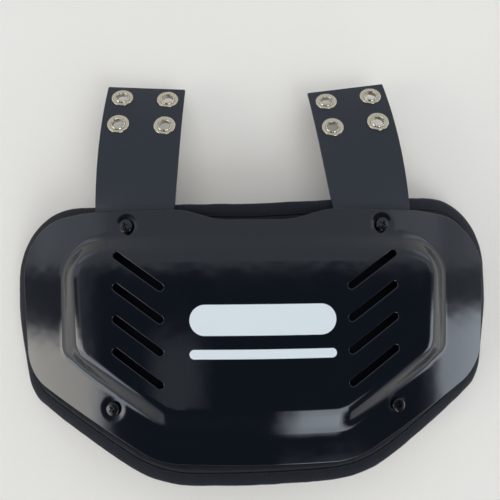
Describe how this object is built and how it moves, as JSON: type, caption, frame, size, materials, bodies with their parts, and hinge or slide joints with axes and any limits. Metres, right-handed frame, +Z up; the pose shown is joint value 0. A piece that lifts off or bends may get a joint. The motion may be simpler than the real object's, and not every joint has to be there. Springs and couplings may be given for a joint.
{
  "type": "football back plate",
  "caption": "Wrapped hard plate with a raised middle and slanted vents over an edge-bound foam pad, with flat eyeleted straps screwed on at its upper edge.",
  "frame": {"origin": "middle of the bounding box, on the surface that the plate lies on", "axes": "+Z up, away from the wearer's back; +Y along the plate towards its straps; +X across the plate, to the right seen from outside"},
  "size_m": [0.375, 0.2978, 0.0751],
  "materials": {
    "shell": "glossy moulded plastic, near black",
    "pad": "matt woven cover over foam, black",
    "binding": "matt folded tape, black",
    "strap": "satin coated webbing, dark grey",
    "eyelet": "nickel plated, polished",
    "screw": "black finish, glossy"
  },
  "bodies": {
    "root": {"shell": "shell", "pad": "pad", "pad_binding": "binding", "strap_left": "strap", "eyelet_left_1": "eyelet", "eyelet_left_2": "eyelet", "eyelet_left_3": "eyelet", "eyelet_left_4": "eyelet", "strap_right": "strap", "eyelet_right_1": "eyelet", "eyelet_right_2": "eyelet", "eyelet_right_3": "eyelet", "eyelet_right_4": "eyelet", "screw_upper_left": "screw", "screw_upper_right": "screw", "screw_lower_left": "screw", "screw_lower_right": "screw"}
  },
  "joints": []
}
